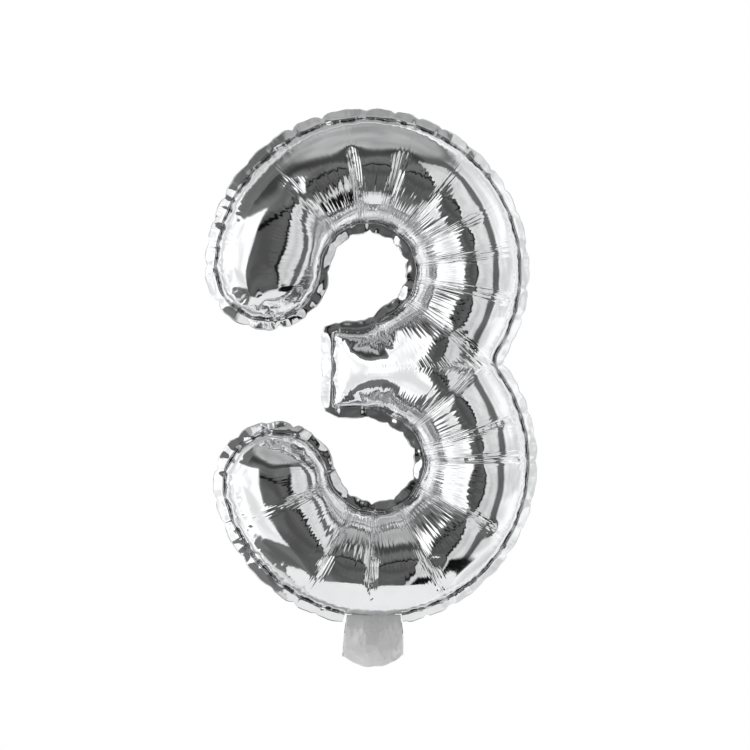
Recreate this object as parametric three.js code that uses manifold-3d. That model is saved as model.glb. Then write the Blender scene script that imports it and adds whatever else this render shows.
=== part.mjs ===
// A foil number balloon: the digit 3 in silver film, air-filled, with its neck hanging at the bottom.
// Millimetres, +Z up, -Y is the front face, +X is to the right when the digit reads correctly.
// The origin is on the back of the welded margin at the very top, where the balloon is hung up.

import * as THREE from 'three';
import { mergeVertices } from 'three/addons/utils/BufferGeometryUtils.js';
import Module from 'manifold-3d';

const wasm = await Module();
wasm.setup();

// ---- driving dimensions -------------------------------------------------------------------------
const TUBE_R = 36;          // radius of the inflated stroke
const MARGIN = 6;           // width of the welded margin outside the stroke
const MARGIN_T = 0.8;       // thickness of the margin, both films fused
const WALL = 0.6;           // thickness that stands for the thin foil
const GAP = 0.3;            // clearance between neighbouring pieces
const SEAM_Y = -MARGIN_T / 2;                            // the plane that both panels meet in

const UPPER = { x: -1.5, z: -104.3, r: 65.3, from: 178, to: -62 };    // stroke centre line, degrees
const LOWER = { x: 3, z: -228.8, r: 66, from: 62, to: -168 };
const ARM = { tip: -27, root: 62, z: -168.3, halfHeight: 27, taper: 34 };

const NECK = { x: 2, width: 40, length: 26, seal: 3, bow: 3.2, rootHalf: 1.15, flare: 8 };
const FOLD_Z = LOWER.z - LOWER.r - TUBE_R - MARGIN;      // the line that the neck folds along
const FOLD_CLEAR = 1.8;                                  // free height above the fold line
const THROAT = { width: 33, outer: 1.5, inner: 0.9 };
const VALVE = { width: 30, length: 58, thick: 0.3, inner: 0.2, below: 1.5 };

const RING_STEPS = 20;      // facets round a stroke
const BEND_STEPS = 24;      // facets along a lobe

// ---- helpers ------------------------------------------------------------------------------------
function solid(geometry) {
  const g = geometry.index ? geometry : geometry.clone();
  g.deleteAttribute('normal');
  g.deleteAttribute('uv');
  const merged = mergeVertices(g, 1e-4);
  return new wasm.Manifold(new wasm.Mesh({
    numProp: 3,
    vertProperties: new Float32Array(merged.attributes.position.array),
    triVerts: new Uint32Array(merged.index.array),
  }));
}

function toGeometry(manifold) {
  const m = manifold.getMesh();
  const g = new THREE.BufferGeometry();
  g.setAttribute('position', new THREE.BufferAttribute(new Float32Array(m.vertProperties), 3));
  g.setIndex(new THREE.BufferAttribute(new Uint32Array(m.triVerts), 1));
  g.computeVertexNormals();
  return g;
}

function box(x0, x1, y0, y1, z0, z1) {
  const g = new THREE.BoxGeometry(x1 - x0, y1 - y0, z1 - z0);
  g.translate((x0 + x1) / 2, (y0 + y1) / 2, (z0 + z1) / 2);
  return solid(g);
}

class ArcPath extends THREE.Curve {
  constructor(lobe) { super(); this.lobe = lobe; }
  getPoint(t, target = new THREE.Vector3()) {
    const a = THREE.MathUtils.degToRad(THREE.MathUtils.lerp(this.lobe.from, this.lobe.to, t));
    return target.set(this.lobe.x + this.lobe.r * Math.cos(a), SEAM_Y, this.lobe.z + this.lobe.r * Math.sin(a));
  }
}

function bentTube(lobe, radius) {
  const ring = new THREE.Shape();
  ring.absarc(0, 0, radius, 0, Math.PI * 2, false);
  return solid(new THREE.ExtrudeGeometry(ring, {
    steps: BEND_STEPS, curveSegments: RING_STEPS, bevelEnabled: false, extrudePath: new ArcPath(lobe),
  }));
}

function ballEnd(lobe, degrees, radius) {
  const a = THREE.MathUtils.degToRad(degrees);
  const g = new THREE.SphereGeometry(radius, RING_STEPS, RING_STEPS / 2);
  g.translate(lobe.x + lobe.r * Math.cos(a), SEAM_Y, lobe.z + lobe.r * Math.sin(a));
  return solid(g);
}

// The middle arm is a pillow end: as high at its tip as at its root, and pinched flat along the tip.
function middleArm(grow) {
  const bar = new THREE.CylinderGeometry(ARM.halfHeight + grow, ARM.halfHeight + grow,
    ARM.root - ARM.tip + grow, RING_STEPS);
  bar.rotateZ(Math.PI / 2);
  bar.translate((ARM.root + ARM.tip - grow) / 2, SEAM_Y, ARM.z);
  const tip = ARM.tip - grow;
  const wedge = new THREE.Shape();
  wedge.moveTo(ARM.root + 1, -TUBE_R - grow);
  wedge.lineTo(tip + ARM.taper, -TUBE_R - grow);
  wedge.absellipse(tip + ARM.taper, 0, ARM.taper, TUBE_R + grow, -Math.PI / 2, -3 * Math.PI / 2, true);
  wedge.lineTo(ARM.root + 1, TUBE_R + grow);
  const g = new THREE.ExtrudeGeometry(wedge, { depth: 200, curveSegments: 14, bevelEnabled: false });
  g.translate(0, SEAM_Y, ARM.z - 100);
  return solid(bar).intersect(solid(g));
}

// The whole inflated digit, every surface moved outwards by grow.
function digit(grow) {
  const r = TUBE_R + grow;
  return bentTube(UPPER, r)
    .add(ballEnd(UPPER, UPPER.from, r))
    .add(ballEnd(UPPER, UPPER.to, r))
    .add(bentTube(LOWER, r))
    .add(ballEnd(LOWER, LOWER.from, r))
    .add(ballEnd(LOWER, LOWER.to, r))
    .add(middleArm(grow));
}

const FAR = 500;
const frontOf = (y) => box(-FAR, FAR, -FAR, y, -FAR * 2, FAR);
const behind = (y) => box(-FAR, FAR, y, FAR, -FAR * 2, FAR);

// ---- foil panels --------------------------------------------------------------------------------
const shell = digit(0).subtract(digit(-WALL));
const bottomZ = LOWER.z - LOWER.r - TUBE_R;

function throatTab(side) {
  const near = SEAM_Y + side * THROAT.inner;
  const far = SEAM_Y + side * THROAT.outer;
  return box(NECK.x - THROAT.width / 2, NECK.x + THROAT.width / 2, Math.min(near, far), Math.max(near, far),
    FOLD_Z + FOLD_CLEAR, bottomZ + 2.2);
}

function throatPassage() {
  return box(NECK.x - THROAT.width / 2 + 1, NECK.x + THROAT.width / 2 - 1,
    SEAM_Y - THROAT.inner, SEAM_Y + THROAT.inner, FOLD_Z, bottomZ + 6);
}

const frontPanel = shell.intersect(frontOf(SEAM_Y - GAP / 2)).add(throatTab(-1)).subtract(throatPassage());
const rearPanel = shell.intersect(behind(SEAM_Y + GAP / 2)).add(throatTab(1)).subtract(throatPassage());

// ---- welded margin ------------------------------------------------------------------------------
const sealBand = digit(MARGIN).subtract(digit(GAP))
  .intersect(box(-FAR, FAR, -MARGIN_T, 0, -FAR * 2, FAR))
  .subtract(box(NECK.x - THROAT.width / 2 - GAP, NECK.x + THROAT.width / 2 + GAP, -5, 5, FOLD_Z - 5, bottomZ + 5));

// ---- neck ---------------------------------------------------------------------------------------
const neckTop = FOLD_Z - GAP;
const neckEnd = FOLD_Z - GAP - NECK.length;
const innerHalf = NECK.width / 2 - NECK.seal;

function lens(half, bow) {
  const s = new THREE.Shape();
  s.moveTo(-half, 0);
  s.quadraticCurveTo(0, -2 * bow, half, 0);
  s.quadraticCurveTo(0, 2 * bow, -half, 0);
  const g = new THREE.ExtrudeGeometry(s, { depth: NECK.length, curveSegments: 16, bevelEnabled: false });
  g.translate(NECK.x, SEAM_Y, neckEnd);
  return solid(g);
}

function flareWedge(rootHalf) {
  const s = new THREE.Shape();                  // drawn as (height above the fold line, y)
  const full = NECK.bow + 2;
  s.moveTo(0, -rootHalf);
  s.lineTo(0, rootHalf);
  s.lineTo(-NECK.flare, full);
  s.lineTo(-NECK.length - 2, full);
  s.lineTo(-NECK.length - 2, -full);
  s.lineTo(-NECK.flare, -full);
  const g = new THREE.ExtrudeGeometry(s, { depth: NECK.width, bevelEnabled: false });
  g.rotateY(-Math.PI / 2);
  g.translate(NECK.x + NECK.width / 2, SEAM_Y, neckTop);
  return solid(g);
}

const neckSleeve = lens(innerHalf - GAP, NECK.bow).intersect(flareWedge(NECK.rootHalf))
  .subtract(lens(innerHalf - GAP - 1, NECK.bow - WALL).intersect(flareWedge(NECK.rootHalf - WALL)));
const neckFront = neckSleeve.intersect(frontOf(SEAM_Y - GAP / 2));
const neckRear = neckSleeve.intersect(behind(SEAM_Y + GAP / 2));

function sideSeal(side) {
  const a = NECK.x + side * innerHalf;
  const b = NECK.x + side * NECK.width / 2;
  return box(Math.min(a, b), Math.max(a, b), -MARGIN_T, 0, neckEnd, neckTop);
}

// ---- valve --------------------------------------------------------------------------------------
const valveRoot = bottomZ - VALVE.below;

function valveFilm(side) {
  const near = SEAM_Y + side * VALVE.inner;
  const far = SEAM_Y + side * (VALVE.inner + VALVE.thick);
  const s = new THREE.Shape();
  const w = VALVE.width / 2;
  s.moveTo(-w, 0);
  s.lineTo(w, 0);
  s.lineTo(w * 0.8, VALVE.length);
  s.lineTo(-w * 0.8, VALVE.length);
  const g = new THREE.ExtrudeGeometry(s, { depth: VALVE.thick, bevelEnabled: false });
  g.rotateX(Math.PI / 2);
  g.translate(NECK.x, Math.max(near, far), valveRoot);
  return solid(g);
}

// ---- materials and scene graph ------------------------------------------------------------------
const foil = () => new THREE.MeshStandardMaterial({ color: 0xd2d3d5, roughness: 0.16, metalness: 1 });
const weld = () => new THREE.MeshStandardMaterial({ color: 0xc4c5c7, roughness: 0.3, metalness: 1 });
const clear = () => new THREE.MeshStandardMaterial({
  color: 0xeef2f4, roughness: 0.25, metalness: 0, transparent: true, opacity: 0.45,
});

function node(name, body, material) {
  const mesh = new THREE.Mesh(toGeometry(body), material);
  mesh.name = name;
  return mesh;
}

const envelope = new THREE.Group();
envelope.add(
  node('front_panel', frontPanel, foil()),
  node('rear_panel', rearPanel, foil()),
  node('seal_band', sealBand, weld()),
);

const neck = new THREE.Group();
neck.add(
  node('neck_front_film', neckFront, foil()),
  node('neck_rear_film', neckRear, foil()),
  node('neck_side_seal_left', sideSeal(-1), weld()),
  node('neck_side_seal_right', sideSeal(1), weld()),
);

const valve = new THREE.Group();
valve.add(
  node('valve_front_film', valveFilm(-1), clear()),
  node('valve_rear_film', valveFilm(1), clear()),
);

const balloon = new THREE.Group();
balloon.add(envelope, neck, valve);

export default balloon;
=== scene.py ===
# A silver foil number balloon, the digit 3: two film panels blown up inside a welded margin, with a neck.
# Metres, +Z up, -Y is the front face. The origin is on the back of the margin, at the very top.
import bmesh
import bpy
import math
import numpy as np
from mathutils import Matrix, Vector
from mathutils.geometry import delaunay_2d_cdt


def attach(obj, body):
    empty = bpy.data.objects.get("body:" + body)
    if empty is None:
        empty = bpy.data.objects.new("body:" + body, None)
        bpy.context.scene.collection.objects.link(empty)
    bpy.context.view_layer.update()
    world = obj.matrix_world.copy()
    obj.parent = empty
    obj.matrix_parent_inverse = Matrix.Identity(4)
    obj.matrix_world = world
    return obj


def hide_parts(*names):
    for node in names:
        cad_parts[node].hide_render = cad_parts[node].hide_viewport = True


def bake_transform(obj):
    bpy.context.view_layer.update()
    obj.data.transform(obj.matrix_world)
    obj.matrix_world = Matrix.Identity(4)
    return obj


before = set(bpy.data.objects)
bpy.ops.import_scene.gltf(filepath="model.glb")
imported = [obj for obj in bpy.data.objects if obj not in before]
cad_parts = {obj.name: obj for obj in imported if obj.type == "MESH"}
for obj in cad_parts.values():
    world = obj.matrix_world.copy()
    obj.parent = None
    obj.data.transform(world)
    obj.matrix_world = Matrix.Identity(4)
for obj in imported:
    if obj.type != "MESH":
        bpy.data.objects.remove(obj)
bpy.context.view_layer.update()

MM = 0.001
SEAM_Y = -0.4                      # millimetres, as are all the sizes down to the sheet functions

# ---- the digit's outline ------------------------------------------------------------------------
OUTLINE_R = 36.0                   # half the stroke's width, to the outline the margin is added to
WELD_INSET = 2.0                   # the pillows of the margin start this far inside that outline
TUBE_R = OUTLINE_R - WELD_INSET
MARGIN = 6.0 + WELD_INSET
UPPER = dict(x=-1.5, z=-104.3, r=65.3, start=178, end=-62)
LOWER = dict(x=3.0, z=-228.8, r=66.0, start=62, end=-168)
ARM = dict(tip=-27.0, root=60.0, z=-168.3, half=27.0, corner=4.0)
JOIN = 8.0                         # how softly the bowls and the arm run into each other
MID_R = 65.6                       # the middle of the stroke, out from a bowl's middle
FOLD_Z = LOWER["z"] - LOWER["r"] - TUBE_R - MARGIN
NECK_X = 2.0
ROW_STEP, CLEAR_OF_SEAM = 0.866, 0.62    # of the spacing between the sheet's points
TRACE_LOW, TRACE_CELLS = (-130.317, -350.273), (260, 370)      # the 1 mm grid the seam is found on

# Where the film folds into deep creases: degrees round the bowl, and how far out each one runs.
UPPER_CREASES = [(133, 74), (99, 77), (75, 73), (49, 70), (27, 76), (8, 88), (-11, 91), (-38, 84)]
LOWER_CREASES = [(44, 84), (18, 91), (3, 90), (-29, 83), (-63, 87), (-94, 84), (-119, 80), (-157, 71)]
CREASE_HALF = 2.4                  # half the width of a deep crease
PAST_END = 8                       # the last panel ends this many degrees past the end of the stroke
WIDEST_PANEL = 22                  # degrees from a panel's middle to its crease, at the most
WAIST_CREASE = dict(above=3, half=2.6, start=38)       # one more, level, where the two bowls meet
ARM_FACE = dict(half=15.0, end=40)                     # the smooth face of the middle arm
ENDS_FROM = dict(upper=150, lower=-140)                # degrees where the two free ends begin


def rise(value, at, width):
    """A smooth step from 0 up to 1."""
    return 1 / (1 + np.exp(-(value - at) / width))


def fall(value, at, width):
    """A smooth step from 1 down to 0."""
    return 1 / (1 + np.exp((value - at) / width))


def arc(bowl, steps=64):
    a = np.radians(np.linspace(bowl["start"], bowl["end"], steps))
    return np.stack([bowl["x"] + bowl["r"] * np.cos(a), bowl["z"] + bowl["r"] * np.sin(a)], 1)


def away_from_line(p, line):
    best = np.full(len(p), 1e9)
    for a, b in zip(line[:-1], line[1:]):
        ab = b - a
        t = np.clip(((p - a) @ ab) / (ab @ ab), 0, 1)
        best = np.minimum(best, np.linalg.norm(p - (a + t[:, None] * ab), axis=1))
    return best


def soft_min(a, b, blend):
    h = np.clip(0.5 + 0.5 * (b - a) / blend, 0, 1)
    return b * (1 - h) + a * h - blend * h * (1 - h)


def outside(p):
    """How far each point lies outside the seam, in millimetres; negative inside the digit."""
    upper = away_from_line(p, arc(UPPER)) - OUTLINE_R
    lower = away_from_line(p, arc(LOWER)) - OUTLINE_R
    middle = np.array([(ARM["tip"] + ARM["root"]) / 2, ARM["z"]])
    reach = np.array([(ARM["root"] - ARM["tip"]) / 2, ARM["half"]]) - ARM["corner"]
    q = np.abs(p - middle) - reach
    arm = np.linalg.norm(np.maximum(q, 0), axis=1) + np.minimum(q.max(1), 0) - ARM["corner"]
    return soft_min(soft_min(upper, lower, JOIN), arm, JOIN) + WELD_INSET


def slope_of_outside(p):
    e = 0.05
    g = np.stack([outside(p + [e, 0]) - outside(p - [e, 0]), outside(p + [0, e]) - outside(p - [0, e])], 1)
    return g / (2 * e)


def steps_along_seam(x, z, f):
    """A table from each point where the seam crosses a grid line to the next one round."""
    inside = f < 0

    def crossing(a, b):
        a, b = sorted([a, b])
        t = f[a] / (f[a] - f[b])
        return (round(x[a] + t * (x[b] - x[a]), 5), round(z[a] + t * (z[b] - z[a]), 5))

    onward = {}
    count = inside[:-1, :-1].astype(int) + inside[1:, :-1] + inside[:-1, 1:] + inside[1:, 1:]
    for i, j in zip(*np.where(count % 4 != 0)):
        c = [(i, j), (i + 1, j), (i + 1, j + 1), (i, j + 1)]
        cuts = [(inside[c[k]], crossing(c[k], c[(k + 1) % 4])) for k in range(4)
                if inside[c[k]] != inside[c[(k + 1) % 4]]]
        if len(cuts) == 2:
            (first, p), (_, q) = cuts
            onward.update({p: q} if first else {q: p})
    return onward


def longest_loop(onward):
    loops = []
    while onward:
        here, loop = next(iter(onward)), []
        while here in onward:
            loop.append(here)
            here = onward.pop(here)
        loops.append(np.array(loop))
    return max(loops, key=len)


def trace_seam(spacing):
    """The closed seam line as evenly spaced points, how far along it each one is, and its length."""
    lines = (low + np.arange(cells) for low, cells in zip(TRACE_LOW, TRACE_CELLS))
    x, z = np.meshgrid(*lines, indexing="ij")
    f = outside(np.stack([x.ravel(), z.ravel()], 1)).reshape(TRACE_CELLS)
    line = longest_loop(steps_along_seam(x, z, f))
    for _ in range(3):
        g = slope_of_outside(line)
        line = line - g * (outside(line) / (g ** 2).sum(1))[:, None]
    closed = np.vstack([line, line[:1]])
    run = np.concatenate([[0], np.cumsum(np.linalg.norm(np.diff(closed, axis=0), axis=1))])
    at = np.linspace(0, run[-1], int(round(run[-1] / spacing)), endpoint=False)
    return np.stack([np.interp(at, run, closed[:, 0]), np.interp(at, run, closed[:, 1])], 1), at, run[-1]


def cut_pattern(spacing):
    """A sheet of even triangles inside the seam; its first points are the seam itself."""
    seam, along, length = trace_seam(spacing)
    low, high = seam.min(0), seam.max(0)
    rows = []
    for r in range(int((high[1] - low[1]) / (spacing * ROW_STEP)) + 1):
        xs = np.arange(low[0] + (0.5 * spacing if r % 2 else 0), high[0], spacing)
        rows.append(np.stack([xs, np.full(len(xs), low[1] + r * spacing * ROW_STEP)], 1))
    grid = np.vstack(rows)
    grid = grid[outside(grid) < -CLEAR_OF_SEAM * spacing]
    points = np.vstack([seam, grid])
    n = len(seam)
    ring = [(i, (i + 1) % n) for i in range(n)]
    verts, _, faces, *_ = delaunay_2d_cdt([Vector(p) for p in points], ring, [list(range(n))], 1, 1e-6)
    v = np.array([list(p) for p in verts])
    f = np.array([list(t) for t in faces])
    turn = np.cross(v[f[:, 1]] - v[f[:, 0]], v[f[:, 2]] - v[f[:, 0]])
    f[turn < 0] = f[turn < 0][:, ::-1]
    return v, f, n, along, length


def bowl_polar(p):
    """For each point: is it in the upper bowl, its angle round that bowl, and its radius there."""
    upper = p[:, 1] > ARM["z"] + 2.0 - 0.02 * p[:, 0]        # the bowls meet on a nearly level line
    cx = np.where(upper, UPPER["x"], LOWER["x"])
    cz = np.where(upper, UPPER["z"], LOWER["z"])
    angle = np.degrees(np.arctan2(p[:, 1] - cz, p[:, 0] - cx))
    # the cut in the angle lies in the open left side, where there is no film
    angle = np.where(upper, (angle + 140) % 360 - 140, (angle + 220) % 360 - 220)
    return upper, angle, np.hypot(p[:, 0] - cx, p[:, 1] - cz)


def crease_lines(p):
    """How near each point is to a deep crease (1 on it), how far out the creases run there, and the
    angle from the middle of its panel between two creases."""
    upper, angle, radius = bowl_polar(p)
    near, reach, from_middle = np.zeros(len(p)), np.zeros(len(p)), np.zeros(len(p))
    for creases, here, bowl in ((UPPER_CREASES, upper, UPPER), (LOWER_CREASES, ~upper, LOWER)):
        at = np.array([c[0] for c in creases][::-1], float)
        run = np.array([c[1] for c in creases][::-1], float)
        outward = np.interp(angle, at, run)
        walls = np.concatenate([[bowl["end"] - PAST_END], at, [bowl["start"] + PAST_END]])
        k = np.clip(np.searchsorted(walls, angle) - 1, 0, len(walls) - 2)
        off = np.radians(np.abs(angle[:, None] - at[None, :]).min(1)) * radius
        near = np.where(here, np.exp(-(off / CREASE_HALF) ** 2) * fall(radius, outward, 3.0), near)
        reach = np.where(here, outward, reach)
        from_middle = np.where(here, angle - (walls[k] + walls[k + 1]) / 2, from_middle)
    above_waist = p[:, 1] - ARM["z"] - WAIST_CREASE["above"]
    waist = np.exp(-(above_waist / WAIST_CREASE["half"]) ** 2) * rise(p[:, 0], WAIST_CREASE["start"], 5)
    return np.maximum(near, waist), reach, from_middle


def arm_middle(p):
    """1 along the middle of the short arm between the two eyes."""
    return np.exp(-((p[:, 1] - ARM["z"]) / ARM_FACE["half"]) ** 4) * fall(p[:, 0], ARM_FACE["end"], 4)


def end_zone(p):
    """1 at the two free ends of the stroke, 0 along the rest of it."""
    upper, angle, _ = bowl_polar(p)
    return rise(np.where(upper, angle - ENDS_FROM["upper"], ENDS_FROM["lower"] - angle), 0, 5)


# ---- blowing the film up ------------------------------------------------------------------------
BIG = 10.0           # the film is blown up at ten times its size, where the solver is steadier
CREST = 36.5         # the height of the vault that gives the film its width before it is blown up
ROUND = 0.85         # how much of that vault is round; the rest is a plain slope
ARM_FALL = 0.7       # how much thinner the middle arm is at its tip
END_BOX = 1.1        # how much boxier the stroke is at its two ends; 0 is round
FACET = 1.6          # 1 makes each panel between two creases straight from crease to crease
CREASE_TUCK = 0.055  # how much less film there is along a deep crease
SPACING, QUICK_SPACING = 2.2, 4.0      # the length of the triangles' edges
PILLOW = 19.0        # the length of one pillow of the margin, along the seam
GATHER = 0.9         # how far a pinch between two pillows draws the seam in, and sways it
START_HEIGHT = 0.5   # how much of the vault's height the film starts with
RUFFLE = 0.5         # uneven length along the seam, which sets off the wrinkles there
FULL_WIDTH_AT, FIRM_AT, FRAMES = 12, 22, 26


def seam_phase(along, length):
    """The margin's gathers: one full turn for each pillow, unevenly spaced."""
    turns = 2 * np.pi * along / length
    return round(length / PILLOW) * turns + 1.3 * np.sin(7 * turns + 1) + 1.1 * np.sin(17 * turns + 2)


def panel_drop(sheet, depth, reach, from_middle):
    """Between two creases the film is a flat-sided panel: how far it falls away from its middle."""
    radius = bowl_polar(sheet)[2]
    panelled = fall(radius, reach, 2.5) * np.clip(depth / 9, 0, 1)
    # the middle arm has no panels
    panelled *= rise(sheet[:, 0], -12, 4) + (np.abs(sheet[:, 1] - ARM["z"]) > 34)
    panelled *= 1 - arm_middle(sheet)
    turn = np.radians(np.clip(from_middle, -WIDEST_PANEL, WIDEST_PANEL))
    return radius * (1 - np.cos(turn)) * np.clip(panelled, 0, 1)


def vault(sheet, depth):
    """The film's real width, kept as the height of a vault over the flat sheet."""
    crease, reach, from_middle = crease_lines(sheet)
    shallow = np.clip(depth - FACET * panel_drop(sheet, depth, reach, from_middle), 0, None)
    x, off_arm = sheet[:, 0], np.abs(sheet[:, 1] - ARM["z"])
    in_arm = 1 / (1 + np.exp((x - 36) / 6) + np.exp((off_arm - 26) / 3))
    half = TUBE_R - (TUBE_R - ARM["half"] + WELD_INSET) * in_arm
    slant = np.minimum(shallow / half, 1)
    # the two ends of the stroke are flatter on top and steeper at the sides than the rest of the tube
    box = 2 + END_BOX * end_zone(sheet)
    arch = np.clip(1 - (1 - slant) ** box, 0, None) ** (1 / box)
    crest = CREST * (1 - in_arm * np.clip((52 - x) / 80, 0, 1) * ARM_FALL)
    return crest * (ROUND * arch + (1 - ROUND) * slant) * (1 - CREASE_TUCK * crease)


def flat_and_full(sheet, back, free, normal, phase, along):
    """Both panels as they start, nearly flat, and at the film's full width, with the seam gathered."""
    rng = np.random.RandomState(5)
    n, n_seam, total = len(sheet), len(phase), len(sheet) + free.sum()
    plan, sway = sheet.copy(), np.zeros(n)
    plan[:n_seam] -= normal * (0.5 * (1 - np.cos(phase)) * GATHER)[:, None]
    sway[:n_seam] = GATHER * np.sin(phase * 0.5 + 0.8 * np.sin(along / 31.0))
    depth = np.clip(-outside(sheet), 0, None)
    roof = vault(sheet, depth)
    start = START_HEIGHT * roof + rng.uniform(0, 0.1, n) * free
    ruffle = rng.uniform(-1, 1, n) * RUFFLE * np.exp(-depth / 6.0) * free
    flat, full = np.zeros((total, 3)), np.zeros((total, 3))
    for index, side in ((np.arange(n), -1), (back, 1)):
        flat[index] = np.stack([plan[:, 0], side * start + sway, plan[:, 1]], 1)
        full[index] = np.stack([plan[:, 0], side * (roof + ruffle) + sway, plan[:, 1]], 1)
    return flat, full


def film_cloth(film):
    """Soft film with its seam held, pushed outward by air that gets firmer as it fills."""
    cloth = film.modifiers.new("air", "CLOTH")
    s = cloth.settings
    s.quality, s.mass = 8, 0.3
    s.use_dynamic_mesh = True      # the film's own size follows its shape key, from flat to full width
    s.tension_stiffness = s.compression_stiffness = 50.0
    s.shear_stiffness, s.bending_stiffness = 20.0, 1.2
    s.tension_damping = s.compression_damping = s.shear_damping = 2.0
    s.bending_damping = 0.5
    s.use_pressure = True
    s.vertex_group_pressure = "air"
    s.vertex_group_mass = "weld"
    s.effector_weights.gravity = 0
    cloth.collision_settings.use_collision = False
    for at, pressure, drag in ((1, 4.0, 1.0), (FULL_WIDTH_AT, 10.0, 1.0), (FIRM_AT, 15.0, 4.0)):
        s.uniform_pressure_force, s.air_damping = pressure, drag
        s.keyframe_insert("uniform_pressure_force", frame=at)
        s.keyframe_insert("air_damping", frame=at)
    cloth.point_cache.frame_end = FRAMES


def blow_up(flat, full, faces, n_seam, unwelded):
    """Runs the air into the film and gives back where its points end up, in metres."""
    mesh = bpy.data.meshes.new("inflating_film")
    mesh.from_pydata((flat * MM * BIG).tolist(), [], faces)
    film = bpy.data.objects.new("inflating_film", mesh)
    bpy.context.scene.collection.objects.link(film)
    film.shape_key_add(name="flat")
    key = film.shape_key_add(name="full width")
    key.data.foreach_set("co", (full * MM * BIG).ravel())
    for value, at in ((0.0, 1), (1.0, FULL_WIDTH_AT)):
        key.value = value
        key.keyframe_insert("value", frame=at)
    film.vertex_groups.new(name="air").add(unwelded, 1.0, "REPLACE")
    film.vertex_groups.new(name="weld").add(list(range(n_seam)), 1.0, "REPLACE")
    film_cloth(film)
    for at in range(1, FRAMES + 1):
        bpy.context.scene.frame_set(at)
    blown = film.evaluated_get(bpy.context.evaluated_depsgraph_get()).to_mesh()
    points = np.zeros(len(flat) * 3, np.float32)
    blown.vertices.foreach_get("co", points)
    bpy.data.objects.remove(film)
    bpy.data.meshes.remove(mesh)
    bpy.context.scene.frame_set(1)
    return points.reshape(-1, 3).astype(float) / BIG


def inflate():
    """Both panels, welded along the seam and blown up: the flat sheet, its faces and all its points."""
    sheet, tris, n_seam, along, length = cut_pattern(SPACING)
    n = len(sheet)
    free = np.arange(n) >= n_seam
    back = np.arange(n)
    back[free] = n + np.arange(free.sum())
    normal = slope_of_outside(sheet[:n_seam])
    normal /= np.linalg.norm(normal, axis=1)[:, None]
    phase = seam_phase(along, length)
    flat, full = flat_and_full(sheet, back, free, normal, phase, along)
    faces = [tuple(map(int, t)) for t in tris] + [tuple(int(i) for i in back[t[::-1]]) for t in tris]
    unwelded = [int(i) for i in np.where(free)[0]] + [int(i) for i in back[free]]
    points = blow_up(flat, full, faces, n_seam, unwelded)
    points[:, 1] += SEAM_Y * MM
    return dict(sheet=sheet, tris=tris, back=back, points=points, n_seam=n_seam, phase=phase,
                normal=normal, along=along)


# ---- small helpers ------------------------------------------------------------------------------
def add_object(name, points, faces, material):
    mesh = bpy.data.meshes.new(name)
    mesh.from_pydata([tuple(p) for p in points], [], [tuple(int(i) for i in t) for t in faces])
    mesh.polygons.foreach_set("use_smooth", [True] * len(mesh.polygons))
    mesh.materials.append(material)
    obj = bpy.data.objects.new(name, mesh)
    bpy.context.scene.collection.objects.link(obj)
    return obj


def add_values(obj, values_by_name):
    """Stores a number for each point of the mesh under each name."""
    for name, values in values_by_name.items():
        layer = obj.data.attributes.new(name, "FLOAT", "POINT")
        layer.data.foreach_set("value", np.array(values, np.float32))


def add_film_map(obj, uv):
    """A UV map in metres on the film: u runs along the stroke, v across it."""
    layer = obj.data.uv_layers.new(name="film")
    index = np.zeros(len(obj.data.loops), np.int32)
    obj.data.loops.foreach_get("vertex_index", index)
    layer.data.foreach_set("uv", uv[index].astype(np.float32).ravel())


def panel_map(obj, sheet):
    """A UV map in metres on a panel: u is the distance round the bowl at mid-stroke, v the distance
    out from mid-stroke. Each face belongs to one bowl, so none is stretched between two maps."""
    mesh = obj.data
    layer = mesh.uv_layers.new(name="film")
    faces = np.array([p.vertices[:] for p in mesh.polygons])
    upper = bowl_polar(sheet[faces].mean(1))[0]
    uv = np.zeros((len(faces), 3, 2))
    for bowl, here in ((UPPER, upper), (LOWER, ~upper)):
        p = sheet[faces[here]] - [bowl["x"], bowl["z"]]
        angle = np.arctan2(p[..., 1], p[..., 0])
        middle = np.arctan2(p[..., 1].mean(1), p[..., 0].mean(1))[:, None]
        angle = middle + (angle - middle + np.pi) % (2 * np.pi) - np.pi
        uv[here] = np.stack([angle * bowl["r"], np.hypot(p[..., 0], p[..., 1]) - bowl["r"]], 2) * MM
    layer.data.foreach_set("uv", uv.astype(np.float32).ravel())


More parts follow.
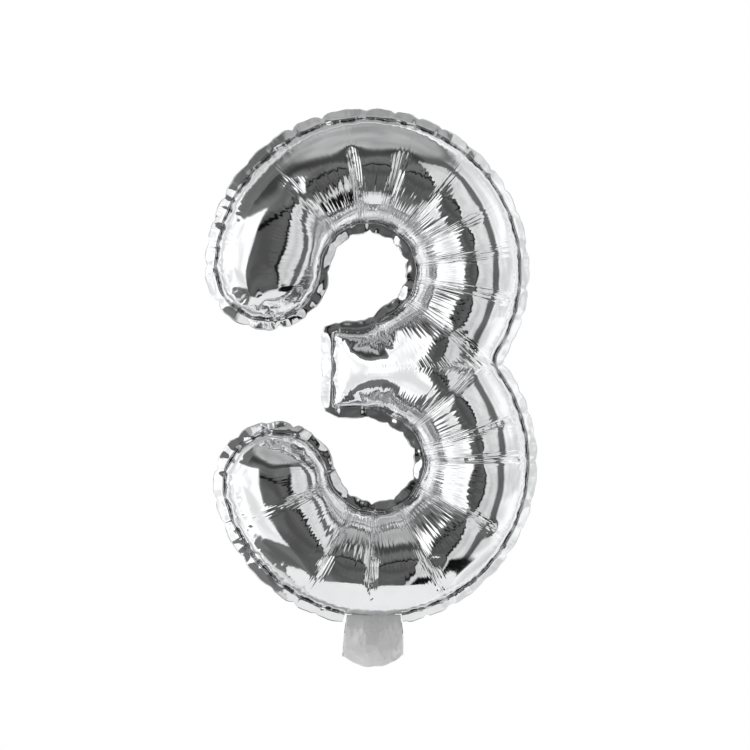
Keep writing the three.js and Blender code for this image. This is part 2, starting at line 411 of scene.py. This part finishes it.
# ---- materials ----------------------------------------------------------------------------------
class Nodes:
    """Short words for building a shader tree."""

    def __init__(self, tree):
        self.tree = tree

    def add(self, kind, **settings):
        node = self.tree.nodes.new(kind)
        for key, value in settings.items():
            setattr(node, key, value)
        return node

    def link(self, a, b):
        self.tree.links.new(a, b)

    def put(self, value, socket):
        if isinstance(value, bpy.types.NodeSocket):
            self.link(value, socket)
        else:
            socket.default_value = value

    def math(self, operation, a, b=0.0, c=0.0, clamp=False):
        node = self.add("ShaderNodeMath", operation=operation, use_clamp=clamp)
        for value, socket in zip((a, b, c), node.inputs):
            self.put(value, socket)
        return node.outputs[0]

    def ramp_between(self, value, low, high, to_low=0.0, to_high=1.0):
        node = self.add("ShaderNodeMapRange", interpolation_type="SMOOTHSTEP")
        for v, name in zip((value, low, high, to_low, to_high),
                           ("Value", "From Min", "From Max", "To Min", "To Max")):
            self.put(v, node.inputs[name])
        return node.outputs["Result"]

    def noise(self, vector, scale, detail=2.0, rough=0.5):
        node = self.add("ShaderNodeTexNoise")
        self.link(vector, node.inputs["Vector"])
        node.inputs["Scale"].default_value = scale
        node.inputs["Detail"].default_value = detail
        node.inputs["Roughness"].default_value = rough
        return node.outputs[0]

    def combine(self, x, y, z=0.0):
        node = self.add("ShaderNodeCombineXYZ")
        for value, socket in zip((x, y, z), node.inputs):
            self.put(value, socket)
        return node.outputs[0]

    def bump(self, height, distance, strength=1.0, normal=None):
        node = self.add("ShaderNodeBump")
        node.inputs["Distance"].default_value = distance
        node.inputs["Strength"].default_value = strength
        self.link(height, node.inputs["Height"])
        if normal is not None:
            self.link(normal, node.inputs["Normal"])
        return node.outputs["Normal"]


def new_material(name):
    material = bpy.data.materials.new(name)
    material.use_nodes = True
    nodes = Nodes(material.node_tree)
    return material, nodes, material.node_tree.nodes["Principled BSDF"]


def silver_film(name, pleat=1.0, tint=(0.93, 0.935, 0.945), dull=0.0, metal=1.0):
    """Metallised film: a mirror with fine pleats on the stroke's inner half and faint handling marks."""
    material, n, shader = new_material(name)
    shader.inputs["Metallic"].default_value = metal
    split = n.add("ShaderNodeSeparateXYZ")
    n.link(n.add("ShaderNodeUVMap", uv_map="film").outputs[0], split.inputs[0])
    u, v = split.outputs[0], split.outputs[1]
    place = n.add("ShaderNodeTexCoord").outputs["Object"]

    def pleats(across, along, layer, detail):
        """Creases drawn out along the stroke's width: how many cross each metre, both ways."""
        drawn = n.combine(n.math("MULTIPLY", u, across), n.math("MULTIPLY", v, along), layer)
        return n.noise(drawn, 1.0, detail)

    # pleats 2 mm apart and 12 mm or more long, on the inner half and beside the weld, and deeper, finer
    # folds at the creases
    fine, coarse = pleats(470.0, 42.0, 0.0, 0.5), pleats(150.0, 40.0, 5.0, 1.0)
    inner_half = n.add("ShaderNodeAttribute", attribute_name="pleated").outputs["Fac"]
    at_weld = n.math("MULTIPLY", n.ramp_between(v, 0.024, 0.031),
                     n.ramp_between(v, 0.0335, 0.036, 1.2, 0.25))
    reach = n.math("ADD", inner_half, at_weld)
    height = n.math("MULTIPLY", n.math("ADD", fine, n.math("MULTIPLY", coarse, 0.45)), reach)
    crease = n.add("ShaderNodeAttribute", attribute_name="crease").outputs["Fac"]
    folds = n.math("MULTIPLY", pleats(700.0, 25.0, 9.0, 1.0), crease)
    height = n.math("ADD", height, n.math("MULTIPLY", folds, 2.8))
    pleated = n.bump(height, 0.0007 * pleat, 0.7)
    handled = n.bump(n.noise(place, 38.0, 2.0, 0.45), 0.0008, 0.3, pleated)
    n.link(handled, shader.inputs["Normal"])

    cloudy = n.noise(place, 60.0, 3.0, 0.6)
    n.link(n.ramp_between(cloudy, 0.3, 0.75, 0.045 + dull, 0.11 + dull), shader.inputs["Roughness"])
    colour = n.add("ShaderNodeMix", data_type="RGBA")
    n.link(n.ramp_between(cloudy, 0.35, 0.7), colour.inputs["Factor"])
    colour.inputs["A"].default_value = (*tint, 1)
    colour.inputs["B"].default_value = (*(0.95 * c for c in tint), 1)
    n.link(colour.outputs["Result"], shader.inputs["Base Color"])
    return material


def clear_film(name):
    """Thin clear polyethylene, slightly hazy, with soft creases."""
    material, n, shader = new_material(name)
    place = n.add("ShaderNodeTexCoord").outputs["Object"]
    haze = n.noise(place, 90.0, 3.0, 0.6)
    n.link(n.ramp_between(haze, 0.3, 0.8, 0.12, 0.3), shader.inputs["Roughness"])
    n.link(n.ramp_between(haze, 0.2, 0.8, 0.32, 0.5), shader.inputs["Alpha"])
    shader.inputs["Base Color"].default_value = (0.93, 0.95, 0.96, 1)
    n.link(n.bump(n.noise(place, 160.0, 2.0), 0.0006, 0.5), shader.inputs["Normal"])
    return material


# ---- studio -------------------------------------------------------------------------------------
# Soft boxes, grey walls and dark drapes round the balloon, later ones in front of earlier ones. Each is
# (from azimuth, to azimuth, from elevation, to elevation, brightness, softness of its edges in degrees).
# Azimuth 0 is straight out from the front face, and positive is to the right as the digit is read.
BETWEEN_CARDS = 0.14               # the brightness where there is no card
STUDIO = [
    ("grey ceiling", -180, 180, 54, 92, 0.42, 4),
    ("bright floor", -180, 180, -92, -59, 0.70, 2),
    ("white floor", -180, 180, -92, -82, 0.95, 5),
    ("white wall behind, right", 70, 180, -62, 50, 0.90, 3),
    ("white wall behind, left", -180, -120, -62, 50, 0.72, 8),
    ("shaded wall, left", -125, -18, -60, 56, 0.16, 6),
    ("soft box, left", -142, -30, -36, 29, 1.1, 1.5),
    ("dark room", -30, 25, -60, 24, 0.11, 1.5),
    ("dark room, upper part", -30, 25, 24, 40, 0.16, 4),
    ("ceiling's dark edge", -70, 34, 40, 53, 0.055, 5),
    ("far wall", 163, 180, -44, 44, 0.38, 6),
    ("far wall, other half", -180, -158, -44, 44, 0.38, 6),
    ("camera", -30, 19, 13, 17.5, 0.004, 1),
    ("stand", 19, 25, -46, 28, 0.012, 1),
    ("pale panel, right", 25, 58, -58, 44, 0.70, 1.5),
    ("door frame", 58, 73, -62, 50, 0.13, 2.5),
    ("doorway", 34, 92, -62, -42, 0.005, 3),
]


def studio_world():
    world = bpy.data.worlds.new("studio")
    bpy.context.scene.world = world
    world.use_nodes = True
    n = Nodes(world.node_tree)
    backdrop = world.node_tree.nodes["Background"].inputs["Color"]
    split = n.add("ShaderNodeSeparateXYZ")
    n.link(n.add("ShaderNodeTexCoord").outputs["Generated"], split.inputs[0])
    x, y, z = split.outputs
    azimuth = n.math("DEGREES", n.math("ARCTAN2", x, n.math("MULTIPLY", y, -1.0)))
    elevation = n.math("DEGREES", n.math("ARCSINE", z))
    level = BETWEEN_CARDS
    for _, a0, a1, e0, e1, bright, soft in STUDIO:
        mask = 1.0
        for value, low, high, limit in ((azimuth, a0, a1, 180), (elevation, e0, e1, 90)):
            if low > -limit:
                mask = n.math("MULTIPLY", mask, n.ramp_between(value, low - soft, low + soft))
            if high < limit:
                mask = n.math("MULTIPLY", mask, n.ramp_between(value, high - soft, high + soft, 1.0, 0.0))
        level = n.math("MULTIPLY_ADD", n.math("SUBTRACT", bright, level), mask, level)
    uneven = n.noise(n.combine(x, y, z), 2.3, 2.0, 0.5)
    level = n.math("MULTIPLY", level, n.ramp_between(uneven, 0.3, 0.7, 0.74, 1.22))
    # behind the balloon the camera sees plain white paper
    seen = n.add("ShaderNodeLightPath").outputs["Is Camera Ray"]
    level = n.math("MULTIPLY_ADD", n.math("SUBTRACT", 1.0, level), seen, level)
    n.link(n.combine(level, level, level), backdrop)


def floor():
    """A pale round table top below the balloon. It glows a little, and less towards the foil than
    towards the camera, so that its reflection doesn't wash out the foil's underside."""
    radius, height, steps = 0.34, -0.75, 72
    ring = [(radius * math.cos(2 * math.pi * i / steps), radius * math.sin(2 * math.pi * i / steps), height)
            for i in range(steps)]
    material, n, shader = new_material("pale floor")
    grain = n.noise(n.add("ShaderNodeTexCoord").outputs["Object"], 12.0)
    shader.inputs["Base Color"].default_value = (0.9, 0.9, 0.9, 1)
    n.link(n.ramp_between(grain, 0.3, 0.7, 0.75, 0.85), shader.inputs["Roughness"])
    shader.inputs["Emission Color"].default_value = (1, 1, 1, 1)
    seen = n.add("ShaderNodeLightPath").outputs["Is Camera Ray"]
    n.link(n.ramp_between(seen, 0.0, 1.0, 0.45, 0.85), shader.inputs["Emission Strength"])
    add_object("floor", ring, [tuple(range(steps))], material)


def camera():
    data = bpy.data.cameras.new("camera")
    obj = bpy.data.objects.new("camera", data)
    bpy.context.scene.collection.objects.link(obj)
    target = Vector((0.0029, 0.0, -0.1718))
    away, width_in_view = 2.0, 0.4875
    turn, lift = math.radians(4.0), math.radians(0.5)
    offset = Vector((-math.sin(turn) * math.cos(lift), -math.cos(turn) * math.cos(lift), math.sin(lift)))
    obj.location = target + offset * away
    obj.rotation_euler = (-offset).to_track_quat("-Z", "Y").to_euler()
    data.sensor_width = 36
    data.lens = data.sensor_width * away / width_in_view
    data.clip_end = 50
    bpy.context.scene.camera = obj


# ---- the blown-up panels and their margin -------------------------------------------------------
def panels(air, front_material, rear_material):
    sheet = air["sheet"]
    crease = crease_lines(sheet)[0]
    # the pleats cover the inner half of the tube, but not the middle arm's face nor the two free ends
    pleated = 0.8 * fall(bowl_polar(sheet)[2], MID_R + 3, 3.5)
    pleated *= (1 - 0.85 * arm_middle(sheet)) * (1 - 0.6 * end_zone(sheet))
    # and they fade where the two bowls' pleats would cross
    pleated *= 1 - 0.9 * np.exp(-((sheet[:, 1] - ARM["z"] - 2) / 6.0) ** 2)
    made = []
    for name, index, turn, material in (("foil_front", np.arange(len(sheet)), 1, front_material),
                                        ("foil_rear", air["back"], -1, rear_material)):
        obj = add_object(name, air["points"][index], air["tris"][:, ::turn], material)
        panel_map(obj, sheet)
        add_values(obj, dict(crease=crease ** 0.4, pleated=pleated))
        smooth = obj.modifiers.new("smooth", "SUBSURF")
        smooth.levels = smooth.render_levels = 1
        made.append(obj)
    return made


MARGIN_COLS = 9         # quads across the margin
PINCH_DEPTH = 3.6       # how much narrower the margin is at a pinch
NECK_GAP_HALF = 17.5    # the margin is left open this far each side of the neck's middle


def margin_faces(air):
    """Quads for both layers of the margin, left out where the neck comes through."""
    n = air["n_seam"]
    seam = air["sheet"][:n]
    at_neck = (seam[:, 1] < LOWER["z"] - 80) & (np.abs(seam[:, 0] - NECK_X) < NECK_GAP_HALF)
    faces = []
    for layer in range(2):
        base = layer * (MARGIN_COLS + 1) * n
        for c in range(MARGIN_COLS):
            for i in range(n):
                j = (i + 1) % n
                if at_neck[i] or at_neck[j]:
                    continue
                quad = (base + c * n + i, base + c * n + j, base + (c + 1) * n + j, base + (c + 1) * n + i)
                faces.append(quad if layer == 0 else quad[::-1])
    return faces


def margin_strip(air, material):
    """Two layers of film outside the weld, sharing both their edges, ready to be puffed into pillows."""
    n = air["n_seam"]
    seam, normal, phase = air["points"][:n], air["normal"], air["phase"]
    open_here = np.abs(np.sin(phase / 2)) ** 0.5      # 0 in a pinch, 1 at the middle of a pillow
    width = (MARGIN - PINCH_DEPTH * (1 - open_here) - 0.5 * np.sin(0.31 * air["along"]) ** 2) * MM
    # round the outside the margin leans back; round the two eyes it stands flat
    outer = rise(bowl_polar(air["sheet"][:n])[2], 60, 9)
    lean = 0.05 + 0.7 * outer
    points, along, across, side = [], [], [], []
    for layer in (-1, 1):
        for c in range(MARGIN_COLS + 1):
            w = c / MARGIN_COLS
            p = seam.copy()
            p[:, 0] += normal[:, 0] * width * w
            p[:, 2] += normal[:, 1] * width * w
            p[:, 1] = SEAM_Y * MM + (p[:, 1] - SEAM_Y * MM) * (1 - 0.4 * w) + lean * width * w
            points.append(p)
            along += list(phase)
            across += [w] * n
            side += list(layer * (0.4 + 0.6 * outer))
    obj = add_object("margin", np.vstack(points), margin_faces(air), material)
    add_values(obj, dict(along=along, across=across, side=side))
    u = np.tile(air["along"], 2 * (MARGIN_COLS + 1))
    add_film_map(obj, np.stack([u, np.array(across) * MARGIN + TUBE_R], 1) * MM)
    return obj


def group_tree(name, sockets):
    """A geometry tree with named inputs, and a table from each name to its socket's identifier."""
    tree = bpy.data.node_groups.new(name, "GeometryNodeTree")
    tree.interface.new_socket("Geometry", in_out="INPUT", socket_type="NodeSocketGeometry")
    keys = {}
    for label, kind, value in sockets:
        socket = tree.interface.new_socket(label, in_out="INPUT", socket_type=kind)
        if value is not None:
            socket.default_value = value
        keys[label] = socket.identifier
    tree.interface.new_socket("Geometry", in_out="OUTPUT", socket_type="NodeSocketGeometry")
    n = Nodes(tree)
    return tree, n, n.add("NodeGroupInput"), n.add("NodeGroupOutput"), keys


def stored(n, name):
    node = n.add("GeometryNodeInputNamedAttribute", data_type="FLOAT")
    node.inputs["Name"].default_value = name
    return next(s for s in node.outputs if s.enabled and s.name == "Attribute")


def gn_noise(n, vector, scale, seed):
    node = n.add("ShaderNodeTexNoise", noise_dimensions="4D")
    n.link(vector, node.inputs["Vector"])
    n.put(scale, node.inputs["Scale"])
    n.put(seed, node.inputs["W"])
    return n.math("SUBTRACT", node.outputs[0], 0.5)


def end_tree(n, geometry, group_in, group_out):
    real = n.add("GeometryNodeRealizeInstances")
    n.link(geometry, real.inputs[0])
    paint = n.add("GeometryNodeSetMaterial")
    n.link(real.outputs[0], paint.inputs[0])
    n.link(group_in.outputs["Film"], paint.inputs["Material"])
    n.link(paint.outputs[0], group_out.inputs[0])


def pillow_tree():
    """Puffs the margin's two layers apart between its pinches, and crinkles it."""
    tree, n, group_in, group_out, keys = group_tree("margin pillows", [
        ("Pillow depth", "NodeSocketFloat", 0.0022), ("Crinkle depth", "NodeSocketFloat", 0.0004),
        ("Skew", "NodeSocketFloat", 0.42), ("Crinkle size", "NodeSocketFloat", 260.0),
        ("Seed", "NodeSocketFloat", 3.0), ("Film", "NodeSocketMaterial", None)])
    along, across, side = stored(n, "along"), stored(n, "across"), stored(n, "side")
    swell = n.math("POWER", n.math("ABSOLUTE", n.math("SINE", n.math("MULTIPLY", along, 0.5))), 0.5)
    skewed = n.math("POWER", across, group_in.outputs["Skew"])
    dome = n.math("SINE", n.math("MULTIPLY", skewed, math.pi))
    puff = n.math("MULTIPLY", n.math("MULTIPLY", swell, dome), group_in.outputs["Pillow depth"])
    place = n.add("GeometryNodeInputPosition").outputs[0]
    crinkle = gn_noise(n, place, group_in.outputs["Crinkle size"], group_in.outputs["Seed"])
    crinkle = n.math("MULTIPLY", n.math("MULTIPLY", crinkle, group_in.outputs["Crinkle depth"]), dome)
    sway = n.math("MULTIPLY", gn_noise(n, place, 70.0, 9.0), n.math("MULTIPLY", across, 0.004))
    y = n.math("ADD", n.math("MULTIPLY", n.math("ADD", puff, crinkle), side), sway)
    move = n.add("GeometryNodeSetPosition")
    n.link(group_in.outputs["Geometry"], move.inputs["Geometry"])
    n.link(n.combine(0.0, y, 0.0), move.inputs["Offset"])
    end_tree(n, move.outputs[0], group_in, group_out)
    return tree, keys


def film_tree():
    """Bows a flat strip of film across its width and softly crumples it."""
    tree, n, group_in, group_out, keys = group_tree("crumpled film", [
        ("Bow", "NodeSocketFloat", 0.003), ("Crumple", "NodeSocketFloat", 0.002),
        ("Seed", "NodeSocketFloat", 1.0), ("Film", "NodeSocketMaterial", None)])
    across, along = stored(n, "across"), stored(n, "along")
    arch = n.math("COSINE", n.math("MULTIPLY", across, math.pi / 2))
    # fullest a little above the middle, and still open at the mouth
    hump = n.math("SINE", n.math("MULTIPLY", n.math("POWER", along, 1.15), math.pi))
    mouth = n.math("ADD", n.math("MULTIPLY", hump, 0.8), n.math("MULTIPLY", along, 0.35))
    bow = n.math("MULTIPLY", n.math("MULTIPLY", arch, mouth), group_in.outputs["Bow"])
    place = n.add("GeometryNodeInputPosition").outputs[0]
    split = n.add("ShaderNodeSeparateXYZ")
    n.link(place, split.inputs[0])
    drawn = n.combine(n.math("MULTIPLY", split.outputs[0], 1.5), split.outputs[1], split.outputs[2])
    seed = group_in.outputs["Seed"]
    small = n.math("MULTIPLY", gn_noise(n, drawn, 260.0, seed), 0.4)
    folds = n.math("ADD", gn_noise(n, drawn, 95.0, seed), small)
    hold = n.ramp_between(along, 0.0, 0.3, 0.15, 1.0)
    folds = n.math("MULTIPLY", n.math("MULTIPLY", folds, hold), group_in.outputs["Crumple"])
    y = n.math("ADD", bow, folds)
    drop = n.math("MULTIPLY", gn_noise(n, drawn, 60.0, 4.0), n.math("MULTIPLY", along, 0.004))
    move = n.add("GeometryNodeSetPosition")
    n.link(group_in.outputs["Geometry"], move.inputs["Geometry"])
    n.link(n.combine(0.0, y, drop), move.inputs["Offset"])
    end_tree(n, move.outputs[0], group_in, group_out)
    return tree, keys


def worked(obj, tree, keys, **inputs):
    """The object after its geometry tree, as a plain mesh with no modifier left."""
    name = obj.name
    tool = obj.modifiers.new("work", "NODES")
    tool.node_group = tree
    for label, value in inputs.items():
        tool[keys[label.replace("_", " ")]] = value
    graph = bpy.context.evaluated_depsgraph_get()
    mesh = bpy.data.meshes.new_from_object(obj.evaluated_get(graph), preserve_all_data_layers=True,
                                           depsgraph=graph)
    obj.modifiers.remove(tool)
    obj.data = mesh
    mesh.name = name
    return obj


def weld_layers(obj):
    """Joins the margin's two layers along both their edges."""
    bm = bmesh.new()
    bm.from_mesh(obj.data)
    bmesh.ops.remove_doubles(bm, verts=bm.verts, dist=1e-6)
    bmesh.ops.delete(bm, geom=[v for v in bm.verts if not v.link_faces], context="VERTS")
    bmesh.ops.recalc_face_normals(bm, faces=bm.faces)
    bm.to_mesh(obj.data)
    bm.free()


STRIP_COLS, STRIP_ROWS = 44, 34
NECK_HALF, NECK_EDGE = 20.0, 2.8        # half the neck's width, and the width of its welded edges
NECK_LAP, NECK_END = 9.0, 25.0          # how far it runs above and below the fold
VALVE_HALF, VALVE_REACH = 14.0, 56.0


def film_strip(name, x0, x1, z_top, z_end, y, side, material, round_end=0.0, waist=0.0, lean=0.0):
    """A grid of film hanging from z_top to z_end, facing the front if side is -1."""
    points, across, along, uv = [], [], [], []
    for r in range(STRIP_ROWS + 1):
        t = r / STRIP_ROWS
        for c in range(STRIP_COLS + 1):
            a = 2 * c / STRIP_COLS - 1
            x = (x0 + x1) / 2 + a * (x1 - x0) / 2
            x = NECK_X + (x - NECK_X) * (1 - waist * (1 - t) ** 2)
            z = z_top + (z_end - z_top) * t
            z += round_end * (abs(a) ** 2.6) * t ** 3
            points.append((x * MM, (y + lean * max(t - 0.25, 0)) * MM, z * MM))
            across.append(a)
            along.append(t)
            uv.append((x * MM, -0.02 + z * MM * 0.2))
    faces = []
    for r in range(STRIP_ROWS):
        for c in range(STRIP_COLS):
            i = r * (STRIP_COLS + 1) + c
            quad = (i, i + STRIP_COLS + 1, i + STRIP_COLS + 2, i + 1)
            faces.append(quad if side < 0 else quad[::-1])
    obj = add_object(name, points, faces, material)
    add_values(obj, dict(across=across, along=along))
    add_film_map(obj, np.array(uv))
    return obj


def thicken(obj, mm):
    wall = obj.modifiers.new("film", "SOLIDIFY")
    wall.thickness, wall.offset = mm * MM, 0.0
    return obj


def neck(material, weld_material, tree, keys):
    """The neck's two films, and the welded edge on each side of them."""
    top, end = FOLD_Z + NECK_LAP, FOLD_Z - NECK_END
    made = []
    for name, side, seed in (("neck_front", -1, 2.0), ("neck_rear", 1, 6.0)):
        film = film_strip(name, NECK_X - NECK_HALF + 0.5, NECK_X + NECK_HALF - 0.5, top, end,
                          SEAM_Y + side * 0.9, side, material, round_end=7.0, waist=0.1, lean=11.0)
        film = worked(film, tree, keys, Bow=side * 0.006, Crumple=0.0026, Seed=seed, Film=material)
        made.append(thicken(film, 0.12))
    for name, x0, x1 in (("neck_edge_left", NECK_X - NECK_HALF, NECK_X - NECK_HALF + NECK_EDGE),
                         ("neck_edge_right", NECK_X + NECK_HALF - NECK_EDGE, NECK_X + NECK_HALF)):
        edge = film_strip(name, x0, x1, FOLD_Z + 4.0, end + 6.0, SEAM_Y, -1, weld_material,
                          waist=0.08, lean=10.3)
        edge = worked(edge, tree, keys, Bow=0.0, Crumple=0.0012, Seed=4.0, Film=weld_material)
        made.append(thicken(edge, 0.3))
    return made


def valve(material, tree, keys):
    """The sleeve of two clear films that closes behind the straw, inside the throat."""
    root = FOLD_Z + MARGIN
    made = []
    for name, side, seed in (("valve_front", -1, 11.0), ("valve_rear", 1, 14.0)):
        film = film_strip(name, NECK_X - VALVE_HALF, NECK_X + VALVE_HALF, root - 1.0, root + VALVE_REACH,
                          SEAM_Y + side * 0.35, -side, material)
        film = worked(film, tree, keys, Bow=side * 0.0004, Crumple=0.0003, Seed=seed, Film=material)
        made.append(thicken(film, 0.1))
    return made


# ---- assembly -----------------------------------------------------------------------------------
def hang_on_bodies(foil_front, foil_rear, margin, neck_pieces, valve_front, valve_rear):
    """Each piece stands for its node; all but the neck's pieces ride on a body, and the neck's pieces are
    baked in place.
    """
    for piece, node, slot, body in (
            (foil_front, "front_panel", "front_panel", "envelope"),
            (foil_rear, "rear_panel", "rear_panel", "envelope"),
            (margin, "seal_band", "seal_band", "envelope"),
            (valve_rear, "valve_rear_film", "valve_films", "envelope"),
            (valve_front, "valve_front_film", "valve_films", "valve")):
        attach(piece, body)
        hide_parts(node)
    for piece, (node, slot) in zip(neck_pieces, (
            ("neck_front_film", "neck_front_film"),
            ("neck_rear_film", "neck_rear_film"),
            ("neck_side_seal_left", "neck_side_seals"),
            ("neck_side_seal_right", "neck_side_seals"))):
        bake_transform(piece)
        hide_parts(node)


def build():
    camera()
    studio_world()
    floor()
    bpy.context.scene.view_settings.view_transform = "Standard"

    front_foil = silver_film("silver film, front")
    rear_foil = silver_film("silver film, rear")
    neck_foil = silver_film("silver film, neck", pleat=0.6, tint=(0.97, 0.97, 0.975), dull=0.2, metal=0.1)
    weld_foil = silver_film("welded film", pleat=0.7, tint=(0.9, 0.905, 0.915))
    clear = clear_film("clear valve film")

    air = inflate()
    foil_front, foil_rear = panels(air, front_foil, rear_foil)
    tree, keys = pillow_tree()
    margin = worked(margin_strip(air, weld_foil), tree, keys, Pillow_depth=0.003, Crinkle_depth=0.0005,
                    Film=weld_foil)
    weld_layers(margin)

    strip_tree, strip_keys = film_tree()
    neck_pieces = neck(neck_foil, weld_foil, strip_tree, strip_keys)
    valve_front, valve_rear = valve(clear, strip_tree, strip_keys)
    hang_on_bodies(foil_front, foil_rear, margin, neck_pieces, valve_front, valve_rear)


build()
